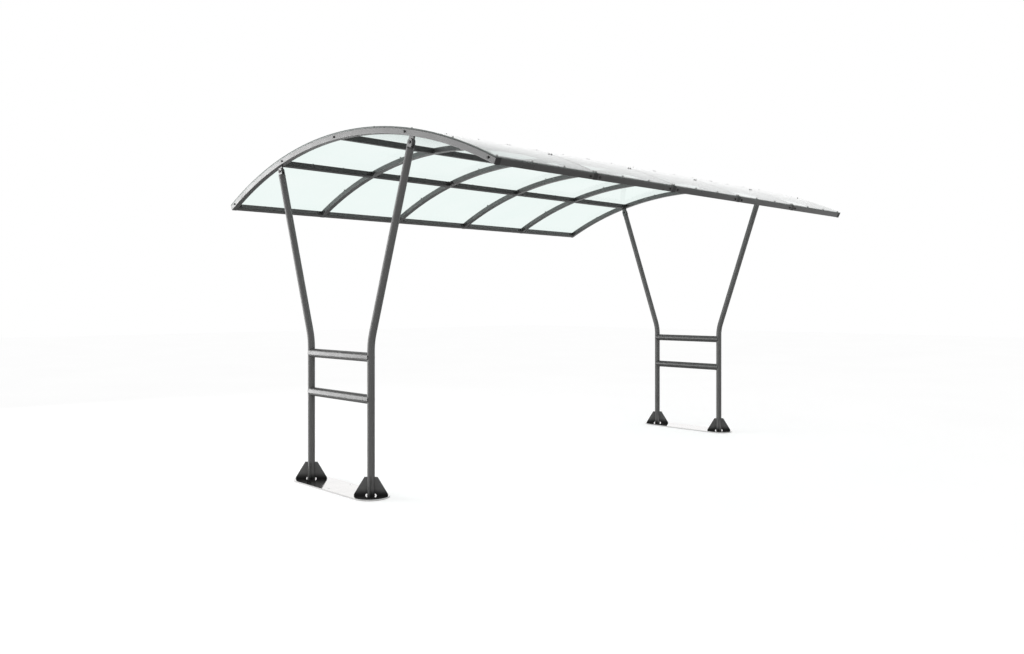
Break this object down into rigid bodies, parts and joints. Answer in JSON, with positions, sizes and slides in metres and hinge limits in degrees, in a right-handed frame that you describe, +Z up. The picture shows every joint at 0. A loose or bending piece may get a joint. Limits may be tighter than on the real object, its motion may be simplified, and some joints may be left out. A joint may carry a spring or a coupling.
{
  "type": "bike shelter",
  "caption": "Open bike shelter with a clear arched roof on square-tube hoops and purlins, carried at each end by a pair of bent posts with rails and a base plate.",
  "frame": {"origin": "on the ground under the middle of the roof", "axes": "+X along the shelter, +Y across it, +Z up"},
  "size_m": [4.24, 3.1146, 2.3678],
  "materials": {
    "frame_paint": "satin powder coat",
    "roof_sheet": "clear polycarbonate",
    "end_cap": "moulded",
    "base_plate": "polished",
    "bolt_steel": "blackened"
  },
  "bodies": {
    "root": {"hoop_1": "frame_paint", "hoop_2": "frame_paint", "hoop_3": "frame_paint", "hoop_4": "frame_paint", "hoop_5": "frame_paint", "hoop_6": "frame_paint", "left_end_caps": "end_cap", "right_end_caps": "end_cap", "left_eave_beam": "frame_paint", "left_purlin": "frame_paint", "ridge_purlin": "frame_paint", "right_purlin": "frame_paint", "right_eave_beam": "frame_paint", "left_eave_cleats": "frame_paint", "left_purlin_cleats": "frame_paint", "ridge_cleats": "frame_paint", "right_purlin_cleats": "frame_paint", "right_eave_cleats": "frame_paint", "roof_sheet_1": "roof_sheet", "roof_sheet_2": "roof_sheet", "roof_sheet_3": "roof_sheet", "roof_sheet_4": "roof_sheet", "roof_sheet_5": "roof_sheet", "front_left_post": "frame_paint", "front_right_post": "frame_paint", "rear_left_post": "frame_paint", "rear_right_post": "frame_paint", "front_upper_rail": "frame_paint", "front_lower_rail": "frame_paint", "rear_upper_rail": "frame_paint", "rear_lower_rail": "frame_paint", "front_left_fork": "frame_paint", "front_right_fork": "frame_paint", "rear_left_fork": "frame_paint", "rear_right_fork": "frame_paint", "hoop_lugs": "frame_paint", "clevis_bolts": "bolt_steel", "front_base_plate": "base_plate", "rear_base_plate": "base_plate", "front_left_gussets": "frame_paint", "front_right_gussets": "frame_paint", "rear_left_gussets": "frame_paint", "rear_right_gussets": "frame_paint"}
  },
  "joints": []
}
